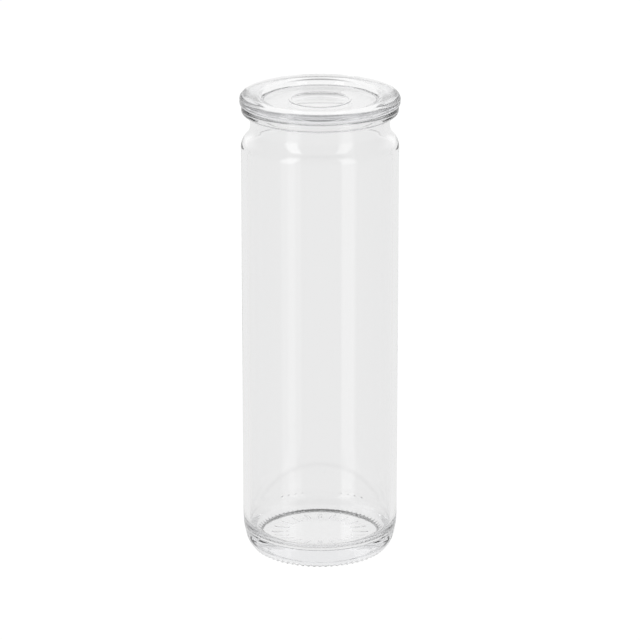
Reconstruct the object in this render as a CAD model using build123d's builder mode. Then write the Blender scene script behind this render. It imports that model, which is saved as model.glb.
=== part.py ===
"""Round glass specimen jar with a flat seal ring and a loose glass lid.

Frame: millimetres, +Z up, origin at the centre of the foot, on the surface
that the jar stands on. Every piece is turned about the Z axis, and the row
of mould dots is low on the back, towards +Y.
"""

import os
from math import cos, radians, sin, sqrt, tan

from build123d import *

# Jar body: a straight wall with a thick floor
BODY_RADIUS = 34.5
JAR_HEIGHT = 204.4
WALL = 2.8
FLOOR_THICKNESS = 6.4
FLOOR_CROWN = 0.5
FLOOR_CORNER_RADIUS = 7.0

# Foot: a narrow bearing ring round a shallow hollow, and a heel in three arcs
FOOT_INSET = 6.2
FOOT_EDGE_RADIUS = 0.3
PUNT_SLOPE = 0.8
PUNT_DEPTH = 1.6
PUNT_CROWN = 0.5
PUNT_CORNER_RADIUS = 0.8
TOE_INSET = 4.9
TOE_RADIUS = 1.6
TOE_RUN = 3.0
TOE_RISE = 3.7
TOE_BLEND_RADIUS = 9.0
HEEL_HEIGHT = 10.8
HEEL_BLEND_RADIUS = 36.0

# Knurl: short radial grooves across the bearing ring and the toe of the heel
KNURL_COUNT = 72
KNURL_INSET = 6.6
KNURL_LENGTH = 3.6
KNURL_TILT = 24.0
KNURL_RADIUS = 0.8
KNURL_DEPTH = 0.35

# Marks: raised radial bars under the floor, inside the bearing ring
MARK_COUNT = 20
MARK_INSET = 16.5
MARK_LENGTH = 7.0
MARK_WIDTH = 1.5
MARK_HEIGHT = 0.6
MARK_EDGE_RADIUS = 0.25

# Mould dots: a broken row of raised dots low on the back of the heel
DOT_ANGLES = (54, 61, 67, 73, 88, 104, 110, 116, 122)
DOT_RADIUS = 0.9
DOT_Z = 11.0

# Shoulder and neck: a slope at 45 degrees blended into wall and neck
SHOULDER_DROP = 15.7
SHOULDER_STEP = 4.0
SHOULDER_RADIUS = 6.0
NECK_BLEND_RADIUS = 7.5
NECK_WALL = 3.0

# Rim: a flange round the mouth that carries the seal
RIM_OVERHANG = 3.8
RIM_HEIGHT = 3.4
RIM_UNDER_SLOPE = 0.5
RIM_UNDER_RADIUS = 1.4
RIM_ROOT_RADIUS = 1.6
RIM_EDGE_RADIUS = 0.8
MOUTH_EDGE_RADIUS = 0.8

# Seal ring: flat, between the rim and the lid, round the lid's spigot
SEAL_THICKNESS = 1.0
SEAL_INSET = 0.9
SEAL_CLEARANCE = 0.3
SEAL_EDGE_RADIUS = 0.25

# Lid: a crowned flange with a recessed top and a spigot underneath
LID_OVERHANG = 0.8
LID_HEIGHT = 4.6
LID_CROWN = 0.6
LID_CROWN_RADIUS = 16.0
LID_UPPER_RADIUS = 2.2
LID_LOWER_RADIUS = 0.8
RECESS_INSET = 9.1
RECESS_DEPTH = 3.0
RECESS_SLOPE = 1.4
RECESS_EDGE_RADIUS = 2.2
RECESS_CORNER_RADIUS = 1.0
SPIGOT_CLEARANCE = 0.7
SPIGOT_DEPTH = 3.6
SPIGOT_CROWN = 0.6
SPIGOT_ROOT_RADIUS = 0.2
SPIGOT_EDGE_RADIUS = 1.6

# Guide ring: a low raised ring in the middle of the lid's recess
GUIDE_RADIUS = 13.0
GUIDE_WIDTH = 1.2
GUIDE_HEIGHT = 0.35

# Places worked out from the sizes above
inner_radius = BODY_RADIUS - WALL
foot_radius = BODY_RADIUS - FOOT_INSET
toe_radius = BODY_RADIUS - TOE_INSET
floor_z = PUNT_DEPTH + FLOOR_THICKNESS
shoulder_z = JAR_HEIGHT - SHOULDER_DROP
neck_radius = BODY_RADIUS - SHOULDER_STEP
mouth_radius = neck_radius - NECK_WALL
inner_shoulder_z = shoulder_z - WALL * (sqrt(2) - 1)
rim_radius = neck_radius + RIM_OVERHANG
rim_bottom_z = JAR_HEIGHT - RIM_HEIGHT
seal_top_z = JAR_HEIGHT + SEAL_THICKNESS
lid_radius = rim_radius + LID_OVERHANG
lid_top_z = seal_top_z + LID_HEIGHT
recess_radius = lid_radius - RECESS_INSET
recess_z = lid_top_z - RECESS_DEPTH
spigot_radius = mouth_radius - SPIGOT_CLEARANCE
spigot_z = seal_top_z - SPIGOT_DEPTH


def blend(radius, room, turn=45.0):
    """Limit a corner radius to the straight length beside the corner.

    Args:
        radius: the radius wanted.
        room: the straight length that the corner's arc may use up.
        turn: the angle in degrees through which the outline turns there.

    Returns:
        The radius, or the largest one that fits in the room.
    """
    return min(radius, room / tan(radians(turn / 2)))


def outline(corners):
    """Draw an outline from axis to axis as straight runs and corner arcs.

    Args:
        corners: (radius from the axis, height, corner radius) for each corner.
            The first and last lie on the axis and are not rounded.
    """
    points = [(r, z) for r, z, _ in corners]
    FilletPolyline(*points, radius=[arc for _, _, arc in corners[1:-1]])
    Line(points[-1], points[0])


outer_slant = SHOULDER_STEP * sqrt(2)
inner_slant = (inner_radius - mouth_radius) * sqrt(2)
inner_lower_radius = max(SHOULDER_RADIUS - WALL, WALL / 2)
inner_upper_radius = NECK_BLEND_RADIUS + NECK_WALL

jar_corners = [
    (0, PUNT_DEPTH + PUNT_CROWN, 0),
    (foot_radius - PUNT_SLOPE, PUNT_DEPTH, PUNT_CORNER_RADIUS),
    (foot_radius, 0, FOOT_EDGE_RADIUS),
    (toe_radius, 0, TOE_RADIUS),
    (toe_radius + TOE_RUN, TOE_RISE, TOE_BLEND_RADIUS),
    (BODY_RADIUS, HEEL_HEIGHT, HEEL_BLEND_RADIUS),
    (BODY_RADIUS, shoulder_z, blend(SHOULDER_RADIUS, outer_slant * 0.44)),
    (neck_radius, shoulder_z + SHOULDER_STEP, blend(NECK_BLEND_RADIUS, outer_slant * 0.55)),
    (neck_radius, rim_bottom_z, RIM_ROOT_RADIUS),
    (rim_radius, rim_bottom_z + RIM_UNDER_SLOPE, RIM_UNDER_RADIUS),
    (rim_radius, JAR_HEIGHT, RIM_EDGE_RADIUS),
    (mouth_radius, JAR_HEIGHT, MOUTH_EDGE_RADIUS),
    (
        mouth_radius,
        inner_shoulder_z + inner_radius - mouth_radius,
        blend(inner_upper_radius, inner_slant * 0.74),
    ),
    (inner_radius, inner_shoulder_z, blend(inner_lower_radius, inner_slant * 0.24)),
    (inner_radius, floor_z, FLOOR_CORNER_RADIUS),
    (0, floor_z + FLOOR_CROWN, 0),
]

seal_inner_radius = spigot_radius + SEAL_CLEARANCE
seal_outer_radius = rim_radius - SEAL_INSET

lid_corners = [
    (0, recess_z, 0),
    (recess_radius - RECESS_SLOPE, recess_z, RECESS_CORNER_RADIUS),
    (recess_radius, lid_top_z - LID_CROWN, RECESS_EDGE_RADIUS),
    ((recess_radius + lid_radius) / 2, lid_top_z, LID_CROWN_RADIUS),
    (lid_radius, lid_top_z - LID_CROWN, LID_UPPER_RADIUS),
    (lid_radius, seal_top_z, LID_LOWER_RADIUS),
    (spigot_radius, seal_top_z, SPIGOT_ROOT_RADIUS),
    (spigot_radius, spigot_z, SPIGOT_EDGE_RADIUS),
    (0, spigot_z + SPIGOT_CROWN, 0),
]

# Knurl groove: a round bar laid across the foot, to be cut from it
groove_plane = Plane(
    origin=(BODY_RADIUS - KNURL_INSET, 0, KNURL_DEPTH - KNURL_RADIUS),
    z_dir=(cos(radians(KNURL_TILT)), 0, sin(radians(KNURL_TILT))),
)
with BuildPart() as knurl_groove:
    with BuildSketch(groove_plane):
        Circle(KNURL_RADIUS)
    extrude(amount=KNURL_LENGTH)

dot_circle_radius = BODY_RADIUS - DOT_RADIUS
dot_places = [
    (
        dot_circle_radius * cos(radians(angle)),
        dot_circle_radius * sin(radians(angle)),
        DOT_Z,
    )
    for angle in DOT_ANGLES
]

# Jar body: one blown-glass vessel with its knurl, marks and mould dots
with BuildPart() as jar_body:
    with BuildSketch(Plane.XZ):
        with BuildLine():
            outline(jar_corners)
        make_face()
    revolve(axis=Axis.Z)
    with PolarLocations(0, KNURL_COUNT, start_angle=180 / KNURL_COUNT):
        add(knurl_groove.part, mode=Mode.SUBTRACT)
    with BuildSketch(Plane.XY.offset(PUNT_DEPTH - MARK_HEIGHT)):
        with PolarLocations(BODY_RADIUS - MARK_INSET, MARK_COUNT):
            SlotOverall(MARK_LENGTH, MARK_WIDTH)
    marks = extrude(amount=MARK_HEIGHT + PUNT_CROWN + FLOOR_THICKNESS / 2)
    mark_tips = jar_body.faces().filter_by(Plane.XY).filter_by_position(
        Axis.Z, PUNT_DEPTH - MARK_HEIGHT - 0.01, PUNT_DEPTH - MARK_HEIGHT + 0.01
    )
    fillet(mark_tips.edges(), radius=MARK_EDGE_RADIUS)
    with Locations(*dot_places):
        Sphere(DOT_RADIUS)

# Seal ring: a flat soft ring that lies on the rim
with BuildPart() as seal_ring:
    with BuildSketch(Plane.XY.offset(JAR_HEIGHT)):
        Circle(seal_outer_radius)
        Circle(seal_inner_radius, mode=Mode.SUBTRACT)
    extrude(amount=SEAL_THICKNESS)
    fillet(seal_ring.edges(), radius=SEAL_EDGE_RADIUS)

# Lid: one pressed-glass disc with its spigot and guide ring
with BuildPart() as lid:
    with BuildSketch(Plane.XZ):
        with BuildLine():
            outline(lid_corners)
        make_face()
    revolve(axis=Axis.Z)
    with BuildSketch(Plane.XY.offset(recess_z - GUIDE_HEIGHT)):
        Circle(GUIDE_RADIUS + GUIDE_WIDTH / 2)
        Circle(GUIDE_RADIUS - GUIDE_WIDTH / 2, mode=Mode.SUBTRACT)
    extrude(amount=2 * GUIDE_HEIGHT)

jar_body.part.label = "jar_body"
seal_ring.part.label = "seal_ring"
lid.part.label = "lid"

os.makedirs("parts", exist_ok=True)
export_step(jar_body.part, "parts/jar_body.step")
export_step(seal_ring.part, "parts/seal_ring.step")
export_step(lid.part, "parts/lid.step")
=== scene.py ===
"""Looks of a round glass specimen jar, its seal ring and its loose glass lid.

Each piece is turned on a lathe: a wire outline is extruded from a single
vertex, spun about the Z axis and then worked in edit mode. All sizes are in
metres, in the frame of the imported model.
"""

import logging
import math
from collections.abc import Callable
from dataclasses import dataclass, field
from enum import Enum

import bmesh
import bpy
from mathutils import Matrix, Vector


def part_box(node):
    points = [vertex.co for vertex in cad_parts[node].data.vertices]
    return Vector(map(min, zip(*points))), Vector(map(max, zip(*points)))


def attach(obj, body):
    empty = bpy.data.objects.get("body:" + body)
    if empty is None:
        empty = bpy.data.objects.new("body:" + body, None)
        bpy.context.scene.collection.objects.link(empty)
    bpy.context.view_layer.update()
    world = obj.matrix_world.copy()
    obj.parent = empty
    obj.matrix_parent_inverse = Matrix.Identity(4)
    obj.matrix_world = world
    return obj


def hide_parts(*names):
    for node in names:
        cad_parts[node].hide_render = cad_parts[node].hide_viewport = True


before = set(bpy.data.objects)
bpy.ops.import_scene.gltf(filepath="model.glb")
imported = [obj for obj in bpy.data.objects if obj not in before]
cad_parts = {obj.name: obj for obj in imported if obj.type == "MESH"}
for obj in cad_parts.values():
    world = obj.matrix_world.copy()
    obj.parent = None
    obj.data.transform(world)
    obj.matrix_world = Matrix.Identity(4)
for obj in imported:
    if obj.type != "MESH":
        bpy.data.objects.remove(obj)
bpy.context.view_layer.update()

LOG = logging.getLogger("specimen_jar")
MM = 0.001
Corner = tuple[float, float, float]
Point = tuple[float, float]


class Body(Enum):
    """Bodies of the frame that pieces ride on."""

    JAR = "jar"
    SEAL = "seal"
    LID = "lid"


class Slot(Enum):
    """Material slots of the record."""

    JAR_GLASS = "jar_glass"
    LID_GLASS = "lid_glass"
    SEAL_RUBBER = "seal_rubber"


def grey(level: float) -> tuple[float, float, float, float]:
    """Return an opaque grey of one level."""
    return (level, level, level, 1.0)


# ---------------------------------------------------------------- finishes


@dataclass(frozen=True)
class ClearGlass:
    """Clear soda-lime glass with the slow ripple that moulding leaves in it.

    Attributes:
        name: name of the material.
        tint: colour of the skin.
        depth_colour: colour that light takes on inside the glass.
        depth_density: how soon it does, per metre.
        ior: index of refraction.
        roughness: roughness of the polished skin.
        ripple_scale: ripples per metre.
        ripple_stretch: how much longer the ripples are along Z.
        ripple_height: height of the ripples in metres.
    """

    name: str
    tint: tuple[float, float, float, float] = (1.0, 1.0, 1.0, 1.0)
    depth_colour: tuple[float, float, float, float] = (0.30, 0.31, 0.36, 1.0)
    depth_density: float = 4.0
    ior: float = 1.52
    roughness: float = 0.0
    ripple_scale: float = 40.0
    ripple_stretch: float = 0.25
    ripple_height: float = 0.00003

    def build(self) -> bpy.types.Material:
        """Make the material.

        Returns:
            The new glass material.
        """
        material = bpy.data.materials.new(self.name)
        material.use_nodes = True
        nodes, links = material.node_tree.nodes, material.node_tree.links
        shader = nodes["Principled BSDF"]
        shader.inputs["Base Color"].default_value = self.tint
        shader.inputs["IOR"].default_value = self.ior
        shader.inputs["Roughness"].default_value = self.roughness
        shader.inputs["Transmission Weight"].default_value = 1.0
        place = nodes.new("ShaderNodeTexCoord")
        stretch = nodes.new("ShaderNodeMapping")
        stretch.inputs["Scale"].default_value = (1.0, 1.0, self.ripple_stretch)
        ripple = nodes.new("ShaderNodeTexNoise")
        ripple.inputs["Scale"].default_value = self.ripple_scale
        ripple.inputs["Detail"].default_value = 1.0
        bump = nodes.new("ShaderNodeBump")
        bump.inputs["Distance"].default_value = self.ripple_height
        bump.inputs["Strength"].default_value = 1.0
        links.new(place.outputs["Object"], stretch.inputs["Vector"])
        links.new(stretch.outputs["Vector"], ripple.inputs["Vector"])
        links.new(ripple.outputs["Fac"], bump.inputs["Height"])
        links.new(bump.outputs["Normal"], shader.inputs["Normal"])
        depth = nodes.new("ShaderNodeVolumeAbsorption")
        depth.inputs["Color"].default_value = self.depth_colour
        depth.inputs["Density"].default_value = self.depth_density
        links.new(depth.outputs["Volume"], nodes["Material Output"].inputs["Volume"])
        return material


@dataclass(frozen=True)
class ClearSilicone:
    """Soft translucent silicone with a faintly grained satin skin.

    Attributes:
        name: name of the material.
        colour: colour of the body of the ring.
        transmission: share of light that passes through.
        ior: index of refraction.
        roughness: roughness of the skin.
        grain_scale: grains per metre.
        grain_height: height of the grain in metres.
    """

    name: str
    colour: tuple[float, float, float, float] = (0.97, 0.975, 0.98, 1.0)
    transmission: float = 1.0
    ior: float = 1.41
    roughness: float = 0.12
    grain_scale: float = 900.0
    grain_height: float = 0.00002

    def build(self) -> bpy.types.Material:
        """Make the material.

        Returns:
            The new silicone material.
        """
        material = bpy.data.materials.new(self.name)
        material.use_nodes = True
        nodes, links = material.node_tree.nodes, material.node_tree.links
        shader = nodes["Principled BSDF"]
        shader.inputs["Base Color"].default_value = self.colour
        shader.inputs["IOR"].default_value = self.ior
        shader.inputs["Roughness"].default_value = self.roughness
        shader.inputs["Transmission Weight"].default_value = self.transmission
        place = nodes.new("ShaderNodeTexCoord")
        grain = nodes.new("ShaderNodeTexNoise")
        grain.inputs["Scale"].default_value = self.grain_scale
        bump = nodes.new("ShaderNodeBump")
        bump.inputs["Distance"].default_value = self.grain_height
        links.new(place.outputs["Object"], grain.inputs["Vector"])
        links.new(grain.outputs["Fac"], bump.inputs["Height"])
        links.new(bump.outputs["Normal"], shader.inputs["Normal"])
        return material


@dataclass(frozen=True)
class PaleGround:
    """Plain pale table top that glows evenly from below.

    Attributes:
        name: name of the material.
        glow: radiance of the table.
        reflectance: share of light that the table scatters back.
    """

    name: str
    glow: float = 1.0
    reflectance: float = 0.05

    def build(self) -> bpy.types.Material:
        """Make the material.

        Returns:
            The new table material.
        """
        material = bpy.data.materials.new(self.name)
        material.use_nodes = True
        shader = material.node_tree.nodes["Principled BSDF"]
        shader.inputs["Base Color"].default_value = grey(self.reflectance)
        shader.inputs["Specular IOR Level"].default_value = 0.0
        shader.inputs["Roughness"].default_value = 1.0
        shader.inputs["Emission Color"].default_value = grey(1.0)
        shader.inputs["Emission Strength"].default_value = self.glow
        return material


# ------------------------------------------------------------------- lathe


@dataclass(frozen=True)
class Band:
    """Part of an outline that needs closely spaced points.

    Attributes:
        low: smallest radius and height.
        high: largest radius and height.
        step: longest run between two points there.
    """

    low: Point
    high: Point
    step: float

    def holds(self, point: Point) -> bool:
        """Tell whether a point lies in the band."""
        return all(
            low <= value <= high
            for low, value, high in zip(self.low, point, self.high)
        )


@dataclass
class Lathe:
    """Turns an outline of corners and corner arcs into a closed mesh.

    Attributes:
        name: name of the object made.
        corners: (radius, height, corner radius) along the outline.
        closed: whether the outline closes on itself, as a ring's does.
        bands: parts of the outline that need closely spaced points.
        steps: faces round the full turn.
        arc_step: largest turn in degrees between two points of an arc; on
            an arc of a small radius it is doubled.
        small_arc: radius up to which an arc counts as small.
        run_step: longest straight stretch between two points.
    """

    name: str
    corners: list[Corner]
    closed: bool = False
    bands: list[Band] = field(default_factory=list)
    steps: int = 288
    arc_step: float = 7.5
    small_arc: float = 2 * MM
    run_step: float = 24 * MM

    def corner_arc(self, before: Corner, corner: Corner, after: Corner) -> list[Point]:
        """Round one corner.

        Args:
            before: the corner before it.
            corner: the corner to round.
            after: the corner after it.

        Returns:
            The points of the arc, or the corner itself if it is sharp.
        """
        r, z, radius = corner
        if radius <= 0:
            return [(r, z)]
        in_r, in_z = before[0] - r, before[1] - z
        out_r, out_z = after[0] - r, after[1] - z
        in_length, out_length = math.hypot(in_r, in_z), math.hypot(out_r, out_z)
        in_r, in_z = in_r / in_length, in_z / in_length
        out_r, out_z = out_r / out_length, out_z / out_length
        inner = math.acos(max(-1.0, min(1.0, in_r * out_r + in_z * out_z)))
        turn = math.pi - inner
        reach = radius * math.tan(turn / 2)
        bisector = math.hypot(in_r + out_r, in_z + out_z)
        depth = radius / math.cos(turn / 2) / bisector
        centre_r, centre_z = r + (in_r + out_r) * depth, z + (in_z + out_z) * depth
        start = math.atan2(z + in_z * reach - centre_z, r + in_r * reach - centre_r)
        end = math.atan2(z + out_z * reach - centre_z, r + out_r * reach - centre_r)
        sweep = (end - start + math.pi) % (2 * math.pi) - math.pi
        arc_step = self.arc_step if radius > self.small_arc else 2 * self.arc_step
        count = max(2, math.ceil(math.degrees(abs(sweep)) / arc_step))
        return [
            (
                centre_r + radius * math.cos(start + sweep * k / count),
                centre_z + radius * math.sin(start + sweep * k / count),
            )
            for k in range(count + 1)
        ]

    def outline(self) -> list[Point]:
        """Work out the outline.

        Returns:
            The points of the outline, from its first corner to its last.
        """
        last = len(self.corners) - 1
        points: list[Point] = []
        for index, corner in enumerate(self.corners):
            if not self.closed and index in (0, last):
                stretch = [corner[:2]]
            else:
                before = self.corners[index - 1]
                after = self.corners[(index + 1) % len(self.corners)]
                stretch = self.corner_arc(before, corner, after)
            for point in stretch:
                points.extend(self.run(points[-1], point) if points else [])
                if not points or math.dist(points[-1], point) > 1e-7:
                    points.append(point)
        if self.closed:
            points.extend(self.run(points[-1], points[0]))
        return points

    def run(self, start: Point, end: Point) -> list[Point]:
        """Divide a long straight stretch, and a short one inside a band.

        Args:
            start: where the stretch starts.
            end: where it ends.

        Returns:
            The points between the two ends.
        """
        def at(share: float) -> Point:
            """Return the point at a share of the stretch."""
            return (
                start[0] + (end[0] - start[0]) * share,
                start[1] + (end[1] - start[1]) * share,
            )

        length = math.dist(start, end)
        count = math.ceil(length / self.run_step)
        shares = {k / count for k in range(1, count)}
        for band in self.bands:
            fine = math.ceil(length / band.step)
            shares.update(k / fine for k in range(1, fine) if band.holds(at(k / fine)))
        return [at(share) for share in sorted(shares)]

    def turn(self) -> bpy.types.Object:
        """Extrude the outline from one vertex and spin it round the axis.

        Returns:
            The turned object, left in edit mode with everything selected.
        """
        points = self.outline()
        start_r, start_z = points[0]
        bpy.ops.object.select_all(action="DESELECT")
        bpy.ops.mesh.primitive_plane_add(size=MM, location=(start_r, 0, start_z))
        piece = bpy.context.active_object
        piece.name = piece.data.name = self.name
        bpy.ops.object.transform_apply(location=True, rotation=True, scale=True)
        bpy.ops.object.mode_set(mode="EDIT")
        bpy.ops.mesh.merge(type="CENTER")
        here = points[0]
        for point in points[1:]:
            step = (point[0] - here[0], 0, point[1] - here[1])
            bpy.ops.mesh.extrude_region_move(TRANSFORM_OT_translate={"value": step})
            here = point
        if self.closed:
            home = (points[0][0] - here[0], 0, points[0][1] - here[1])
            bpy.ops.mesh.extrude_region_move(TRANSFORM_OT_translate={"value": home})
        bpy.ops.mesh.select_all(action="SELECT")
        bpy.ops.mesh.spin(
            steps=self.steps, angle=2 * math.pi, center=(0, 0, 0), axis=(0, 0, 1)
        )
        bpy.ops.mesh.select_all(action="SELECT")
        bpy.ops.mesh.remove_doubles(threshold=0.002 * MM)
        bpy.ops.mesh.normals_make_consistent(inside=False)
        return piece


def press(
    piece: bpy.types.Object,
    is_on_crest: Callable[[float, float, float], bool],
    height: float,
    reach: float,
) -> None:
    """Raise or sink the skin round chosen points, falling off as a dome does.

    Args:
        piece: a piece in edit mode.
        is_on_crest: tells from a vertex's turn in degrees, its radius and
            its height whether it lies on the crest of the raised shape.
        height: how far the crest is raised out of the skin, in metres.
        reach: how far from the crest the raised shape goes, in metres.
    """
    shape = bmesh.from_edit_mesh(piece.data)
    for vert in shape.verts:
        turn = math.degrees(math.atan2(vert.co.y, vert.co.x)) % 360
        vert.select = is_on_crest(turn, math.hypot(vert.co.x, vert.co.y), vert.co.z)
    shape.select_flush_mode()
    bmesh.update_edit_mesh(piece.data)
    bpy.ops.transform.shrink_fatten(
        value=height,
        use_proportional_edit=True,
        proportional_edit_falloff="SPHERE",
        proportional_size=reach,
    )
    bpy.ops.mesh.select_all(action="DESELECT")


def dress(
    piece: bpy.types.Object,
    material: bpy.types.Material,
    body: Body,
    node: str,
) -> None:
    """Give a piece its finish, its body and the node that it stands for.

    Args:
        piece: the finished piece.
        material: its finish.
        body: the body that it rides on.
        node: the CAD node that it replaces.
    """
    piece.data.materials.clear()
    piece.data.materials.append(material)
    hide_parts(node)
    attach(piece, body.value)


def half_width(node: str) -> float:
    """Return the radius of a round node, from its box."""
    low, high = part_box(node)
    return (high[0] - low[0]) / 2


# ------------------------------------------------------------------ pieces


@dataclass
class JarBody:
    """The vessel: heel and foot, wall, shoulder, neck and flanged rim."""

    node: str = "jar_body"
    wall: float = 2.8 * MM
    floor_thickness: float = 6.4 * MM
    floor_crown: float = 0.5 * MM
    floor_corner: float = 7.0 * MM
    foot_inset: float = 6.2 * MM
    foot_edge: float = 0.3 * MM
    punt_slope: float = 0.8 * MM
    punt_depth: float = 1.6 * MM
    punt_crown: float = 0.5 * MM
    punt_corner: float = 0.8 * MM
    toe_inset: float = 4.9 * MM
    toe_radius: float = 1.6 * MM
    toe_run: float = 3.0 * MM
    toe_rise: float = 3.7 * MM
    toe_blend: float = 9.0 * MM
    heel_height: float = 10.8 * MM
    heel_blend: float = 36.0 * MM
    shoulder_drop: float = 15.7 * MM
    shoulder_step: float = 4.0 * MM
    shoulder_radius: float = 6.0 * MM
    neck_blend: float = 7.4 * MM
    neck_wall: float = 3.0 * MM
    rim_overhang: float = 3.8 * MM
    rim_height: float = 3.4 * MM
    rim_under_slope: float = 0.5 * MM
    rim_under_radius: float = 1.4 * MM
    rim_root_radius: float = 1.6 * MM
    rim_edge: float = 0.8 * MM
    mouth_edge: float = 0.8 * MM
    inner_lower: float = 3.2 * MM
    inner_upper: float = 10.4 * MM
    knurl_count: int = 72
    knurl_depth: float = 0.35 * MM
    knurl_width: float = 1.3 * MM
    knurl_top: float = 1.2 * MM
    knurl_slack: float = 0.6
    mark_count: int = 20
    mark_inset: float = 16.5 * MM
    mark_length: float = 7.0 * MM
    mark_width: float = 1.5 * MM
    mark_height: float = 0.6 * MM
    mark_step: float = 0.4 * MM
    dot_turns: tuple[float, ...] = (54, 61, 67, 73, 88, 104, 110, 116, 122)
    dot_z: float = 11.0 * MM
    dot_height: float = 0.36 * MM
    dot_reach: float = 0.75 * MM
    dot_step: float = 0.25 * MM
    dot_band: float = 1.1 * MM
    turn_slack: float = 0.3
    steps: int = 360
    glass: ClearGlass = field(default_factory=lambda: ClearGlass("jar_glass"))
    outer: float = field(init=False)

    def __post_init__(self) -> None:
        """Read the radius of the wall from the frame."""
        self.outer = half_width(self.node)

    def corners(self) -> list[Corner]:
        """Work out the outline's corners from the frame and the sizes.

        Returns:
            The corners from the middle of the foot round to the floor.
        """
        outer, top = self.outer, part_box(self.node)[1][2]
        inner = outer - self.wall
        foot = outer - self.foot_inset
        toe = outer - self.toe_inset
        shoulder = top - self.shoulder_drop
        neck = outer - self.shoulder_step
        mouth = neck - self.neck_wall
        inner_shoulder = shoulder - self.wall * (math.sqrt(2) - 1)
        rim = neck + self.rim_overhang
        rim_bottom = top - self.rim_height
        floor = self.punt_depth + self.floor_thickness
        return [
            (0, self.punt_depth + self.punt_crown, 0),
            (foot - self.punt_slope, self.punt_depth, self.punt_corner),
            (foot, 0, self.foot_edge),
            (toe, 0, self.toe_radius),
            (toe + self.toe_run, self.toe_rise, self.toe_blend),
            (outer, self.heel_height, self.heel_blend),
            (outer, shoulder, self.shoulder_radius),
            (neck, shoulder + self.shoulder_step, self.neck_blend),
            (neck, rim_bottom, self.rim_root_radius),
            (rim, rim_bottom + self.rim_under_slope, self.rim_under_radius),
            (rim, top, self.rim_edge),
            (mouth, top, self.mouth_edge),
            (mouth, inner_shoulder + inner - mouth, self.inner_upper),
            (inner, inner_shoulder, self.inner_lower),
            (inner, floor, self.floor_corner),
            (0, floor + self.floor_crown, 0),
        ]

    def bands(self) -> list[Band]:
        """Work out where the outline needs closely spaced points.

        Returns:
            A box in (radius, height) and a spacing for the marks and dots.
        """
        outer = self.outer
        middle, half = outer - self.mark_inset, self.mark_length / 2 + MM
        return [
            Band((middle - half, 0), (middle + half, 3 * MM), self.mark_step),
            Band(
                (outer - MM, self.dot_z - self.dot_band),
                (outer + MM, self.dot_z + self.dot_band),
                self.dot_step,
            ),
        ]

    def on_knurl(self, turn: float, radius: float, height: float) -> bool:
        """Tell whether a point is on the bottom line of a knurl groove.

        Args:
            turn: the point's turn round the axis in degrees.
            radius: its distance from the axis.
            height: its height.

        Returns:
            Whether it is.
        """
        pitch = 360 / self.knurl_count
        foot = self.outer - self.foot_inset
        return (
            abs(turn % pitch - pitch / 2) < self.knurl_slack
            and radius > foot - 0.1 * MM
            and height < self.knurl_top
        )

    def on_mark(self, turn: float, radius: float, height: float) -> bool:
        """Tell whether a point is on the crest line of a radial mark.

        Args:
            turn: the point's turn round the axis in degrees.
            radius: its distance from the axis.
            height: its height.

        Returns:
            Whether it is.
        """
        pitch = 360 / self.mark_count
        middle = self.outer - self.mark_inset
        half = (self.mark_length - self.mark_width) / 2
        return (
            abs((turn + pitch / 2) % pitch - pitch / 2) < self.turn_slack
            and abs(radius - middle) < half
            and height < self.punt_depth + self.punt_crown
        )

    def on_dot(self, turn: float, radius: float, height: float) -> bool:
        """Tell whether a point is in the middle of a mould dot.

        Args:
            turn: the point's turn round the axis in degrees.
            radius: its distance from the axis.
            height: its height.

        Returns:
            Whether it is.
        """
        return (
            radius > self.outer - MM
            and abs(height - self.dot_z) < 0.52 * self.dot_step
            and any(abs(turn - middle) < self.turn_slack for middle in self.dot_turns)
        )

    def build(self) -> bpy.types.Object:
        """Turn the vessel and dress it.

        Returns:
            The finished vessel.
        """
        lathe = Lathe(
            "jar_vessel", self.corners(), bands=self.bands(), steps=self.steps
        )
        piece = lathe.turn()
        press(piece, self.on_knurl, -self.knurl_depth, self.knurl_width / 2)
        press(piece, self.on_mark, self.mark_height, self.mark_width / 2)
        press(piece, self.on_dot, self.dot_height, self.dot_reach)
        bpy.ops.object.mode_set(mode="OBJECT")
        bpy.ops.object.shade_smooth()
        dress(piece, self.glass.build(), Body.JAR, self.node)
        return piece


@dataclass
class SealRing:
    """The flat soft ring between the rim and the lid."""

    node: str = "seal_ring"
    seat: float = 6.3 * MM
    edge: float = 0.25 * MM
    skin_gap: float = 0.05 * MM
    silicone: ClearSilicone = field(
        default_factory=lambda: ClearSilicone("seal_silicone")
    )

    def corners(self) -> list[Corner]:
        """Work out the ring's section from the frame.

        Returns:
            The four corners of the section.
        """
        outer = half_width(self.node)
        inner = outer - self.seat
        low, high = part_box(self.node)
        bottom, top = low[2] + self.skin_gap, high[2] - self.skin_gap
        return [
            (inner, bottom, self.edge),
            (outer, bottom, self.edge),
            (outer, top, self.edge),
            (inner, top, self.edge),
        ]

    def build(self) -> bpy.types.Object:
        """Turn the ring and dress it.

        Returns:
            The finished ring.
        """
        piece = Lathe("seal_ring_soft", self.corners(), closed=True, arc_step=22.5).turn()
        bpy.ops.object.mode_set(mode="OBJECT")
        bpy.ops.object.shade_smooth()
        dress(piece, self.silicone.build(), Body.SEAL, self.node)
        return piece


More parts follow.
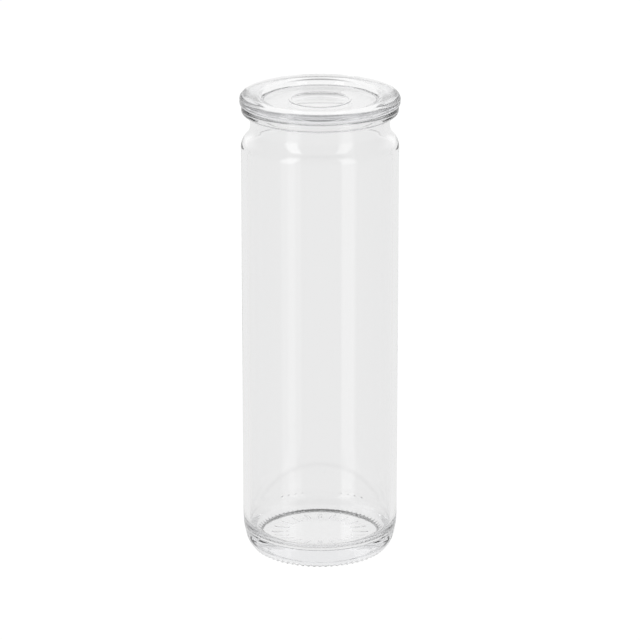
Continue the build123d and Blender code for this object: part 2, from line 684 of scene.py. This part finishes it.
@dataclass
class GlassLid:
    """The pressed lid: a crowned flange with a recessed top and a spigot."""

    node: str = "lid"
    seal_node: str = "seal_ring"
    upper_radius: float = 2.2 * MM
    lower_radius: float = 0.8 * MM
    flange_height: float = 4.6 * MM
    crown: float = 0.6 * MM
    crown_radius: float = 16.0 * MM
    recess_inset: float = 9.1 * MM
    recess_depth: float = 3.0 * MM
    recess_slope: float = 1.4 * MM
    recess_edge: float = 2.2 * MM
    recess_corner: float = 1.0 * MM
    spigot_inset: float = 8.3 * MM
    spigot_depth: float = 3.6 * MM
    spigot_crown: float = 0.6 * MM
    spigot_edge: float = 1.6 * MM
    spigot_root: float = 0.2 * MM
    guide_radius: float = 13.0 * MM
    guide_width: float = 1.2 * MM
    guide_height: float = 0.35 * MM
    guide_edge: float = 0.12 * MM
    steps: int = 360
    glass: ClearGlass = field(default_factory=lambda: ClearGlass("lid_glass"))

    def corners(self) -> list[Corner]:
        """Work out the outline's corners from the frame and the sizes.

        Returns:
            The corners from the middle of the top round to the underside.
        """
        outer, seat = half_width(self.node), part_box(self.seal_node)[1][2]
        top, bottom = seat + self.flange_height, seat - self.spigot_depth
        recess, spigot = outer - self.recess_inset, outer - self.spigot_inset
        floor = top - self.recess_depth
        guide_in = self.guide_radius - self.guide_width / 2
        guide_out = self.guide_radius + self.guide_width / 2
        guide_top = floor + self.guide_height
        return [
            (0, floor, 0),
            (guide_in, floor, self.guide_edge),
            (guide_in, guide_top, self.guide_edge),
            (guide_out, guide_top, self.guide_edge),
            (guide_out, floor, self.guide_edge),
            (recess - self.recess_slope, floor, self.recess_corner),
            (recess, top - self.crown, self.recess_edge),
            ((recess + outer) / 2, top, self.crown_radius),
            (outer, top - self.crown, self.upper_radius),
            (outer, seat, self.lower_radius),
            (spigot, seat, self.spigot_root),
            (spigot, bottom, self.spigot_edge),
            (0, bottom + self.spigot_crown, 0),
        ]

    def build(self) -> bpy.types.Object:
        """Turn the lid and dress it.

        Returns:
            The finished lid.
        """
        piece = Lathe("lid_disc", self.corners(), steps=self.steps).turn()
        bpy.ops.object.mode_set(mode="OBJECT")
        bpy.ops.object.shade_smooth()
        dress(piece, self.glass.build(), Body.LID, self.node)
        return piece


# ------------------------------------------------------------------ studio


@dataclass
class StripLight:
    """A tall soft light box standing in front of the jar, to one side."""

    name: str
    azimuth: float
    width: float
    radiance: float
    distance: float = 1.6
    height: float = 2.2
    centre_z: float = 1.2

    def build(self) -> bpy.types.Object:
        """Make the light, facing the jar.

        Returns:
            The light's object.
        """
        lamp = bpy.data.lights.new(self.name, "AREA")
        lamp.shape = "RECTANGLE"
        lamp.size, lamp.size_y = self.width, self.height
        lamp.energy = self.radiance * math.pi * self.width * self.height
        light = bpy.data.objects.new(self.name, lamp)
        bpy.context.scene.collection.objects.link(light)
        angle = math.radians(self.azimuth)
        light.location = (
            self.distance * math.sin(angle),
            -self.distance * math.cos(angle),
            self.centre_z,
        )
        light.rotation_euler = (math.pi / 2, 0, angle)
        light.visible_camera = False
        return light


@dataclass
class Studio:
    """The pale table, the sky of soft light, the light boxes and the camera."""

    table_size: float = 40.0
    table_drop: float = 0.3 * MM
    low_front: float = 0.75
    low_side: float = 0.75
    low_back: float = 0.85
    high_front: float = 0.6
    high_side: float = 0.6
    high_back: float = 1.0
    side_front: float = 60.0
    side_back: float = 110.0
    back_edge: float = 150.0
    horizon_low: float = -0.1
    horizon_high: float = 0.1
    top_start: float = 0.8
    top_end: float = 0.97
    top_level: float = 0.05
    camera_distance: float = 1.70
    camera_elevation: float = 18.5
    camera_target_z: float = 0.106
    camera_lens: float = 216.0
    sensor_width: float = 36.0
    glass_bounces: int = 24
    mirror_bounces: int = 12
    strips: tuple[StripLight, ...] = (
        StripLight("strip_left", azimuth=-48.0, width=0.62, radiance=1.4),
        StripLight("strip_right", azimuth=43.0, width=0.66, radiance=1.0),
        StripLight(
            "bounce_left", azimuth=-48.0, width=0.62, radiance=0.33, centre_z=-1.0
        ),
        StripLight(
            "bounce_right", azimuth=43.0, width=0.66, radiance=0.36, centre_z=-1.0
        ),
    )

    def build_table(self) -> bpy.types.Object:
        """Make the table top.

        Returns:
            The table's object.
        """
        bpy.ops.object.select_all(action="DESELECT")
        bpy.ops.mesh.primitive_plane_add(
            size=self.table_size, location=(0, 0, -self.table_drop)
        )
        table = bpy.context.active_object
        table.name = "pale_table"
        table.data.materials.append(PaleGround("pale_ground").build())
        table.visible_glossy = False
        table.visible_transmission = False
        return table

    def add_ramp(
        self, nodes: bpy.types.Nodes, front: float, side: float, back: float
    ) -> bpy.types.Node:
        """Add a grey ramp that runs from in front of the jar to behind it.

        Args:
            nodes: the world's nodes.
            front: level in front of the jar.
            side: level to both sides of it.
            back: level behind it.

        Returns:
            The ramp.
        """
        ramp = nodes.new("ShaderNodeValToRGB")
        ramp.color_ramp.interpolation = "EASE"
        stops = (
            (0.0, front),
            (self.side_front, side),
            (self.side_back, side),
            (self.back_edge, back),
        )
        elements = ramp.color_ramp.elements
        while len(elements) < len(stops):
            elements.new(0.5)
        for element, (angle, level) in zip(elements, stops):
            element.position = (1 - math.cos(math.radians(angle))) / 2
            element.color = grey(level)
        return ramp

    def add_fade(
        self, nodes: bpy.types.Nodes, start: float, end: float
    ) -> bpy.types.Node:
        """Add a smooth step from 0 to 1 between two heights of the sky.

        Args:
            nodes: the world's nodes.
            start: sine of the elevation where it leaves 0.
            end: sine of the elevation where it reaches 1.

        Returns:
            The fade.
        """
        fade = nodes.new("ShaderNodeMapRange")
        fade.interpolation_type = "SMOOTHSTEP"
        fade.inputs["From Min"].default_value = start
        fade.inputs["From Max"].default_value = end
        return fade

    def build_sky(self) -> bpy.types.World:
        """Make a world of soft light whose level depends on the direction.

        Returns:
            The new world.
        """
        world = bpy.data.worlds.new("soft_sky")
        bpy.context.scene.world = world
        world.use_nodes = True
        nodes, links = world.node_tree.nodes, world.node_tree.links
        place = nodes.new("ShaderNodeTexCoord")
        level = nodes.new("ShaderNodeVectorMath")
        level.operation = "MULTIPLY"
        level.inputs[1].default_value = (1.0, 1.0, 0.0)
        heading = nodes.new("ShaderNodeVectorMath")
        heading.operation = "NORMALIZE"
        depth = nodes.new("ShaderNodeSeparateXYZ")
        height = nodes.new("ShaderNodeSeparateXYZ")
        around = nodes.new("ShaderNodeMapRange")
        around.inputs["From Min"].default_value = -1.0
        low = self.add_ramp(nodes, self.low_front, self.low_side, self.low_back)
        high = self.add_ramp(nodes, self.high_front, self.high_side, self.high_back)
        horizon = self.add_fade(nodes, self.horizon_low, self.horizon_high)
        zenith = self.add_fade(nodes, self.top_start, self.top_end)
        rise, cap = nodes.new("ShaderNodeMix"), nodes.new("ShaderNodeMix")
        rise.data_type = cap.data_type = "RGBA"
        colour_a, colour_b, colour_out = 6, 7, 2
        cap.inputs[colour_b].default_value = grey(self.top_level)
        links.new(place.outputs["Generated"], level.inputs[0])
        links.new(level.outputs["Vector"], heading.inputs[0])
        links.new(heading.outputs["Vector"], depth.inputs["Vector"])
        links.new(place.outputs["Generated"], height.inputs["Vector"])
        links.new(depth.outputs["Y"], around.inputs["Value"])
        links.new(around.outputs["Result"], low.inputs["Fac"])
        links.new(around.outputs["Result"], high.inputs["Fac"])
        links.new(height.outputs["Z"], horizon.inputs["Value"])
        links.new(height.outputs["Z"], zenith.inputs["Value"])
        links.new(horizon.outputs["Result"], rise.inputs["Factor"])
        links.new(low.outputs["Color"], rise.inputs[colour_a])
        links.new(high.outputs["Color"], rise.inputs[colour_b])
        links.new(zenith.outputs["Result"], cap.inputs["Factor"])
        links.new(rise.outputs[colour_out], cap.inputs[colour_a])
        links.new(cap.outputs[colour_out], nodes["Background"].inputs["Color"])
        return world

    def build_camera(self) -> bpy.types.Object:
        """Make the camera and point it at the jar's axis.

        Returns:
            The camera's object.
        """
        data = bpy.data.cameras.new("camera")
        data.lens = self.camera_lens
        data.sensor_width = self.sensor_width
        camera = bpy.data.objects.new("camera", data)
        bpy.context.scene.collection.objects.link(camera)
        tilt = math.radians(self.camera_elevation)
        camera.location = (
            0,
            -self.camera_distance * math.cos(tilt),
            self.camera_target_z + self.camera_distance * math.sin(tilt),
        )
        camera.rotation_euler = (math.pi / 2 - tilt, 0, 0)
        bpy.context.scene.camera = camera
        return camera

    def build(self) -> None:
        """Make everything that isn't part of the object."""
        self.build_table()
        self.build_sky()
        for strip in self.strips:
            strip.build()
        self.build_camera()
        scene = bpy.context.scene
        scene.view_settings.view_transform = "Standard"
        scene.cycles.max_bounces = self.glass_bounces
        scene.cycles.transmission_bounces = self.glass_bounces
        scene.cycles.glossy_bounces = self.mirror_bounces


def main() -> None:
    """Build the pieces in order, then the studio round them."""
    logging.basicConfig(level=logging.INFO, format="%(message)s")
    for maker in (JarBody(), SealRing(), GlassLid()):
        piece = maker.build()
        LOG.info("%s: %d faces", piece.name, len(piece.data.polygons))
    Studio().build()


if __name__ == "__main__":
    main()
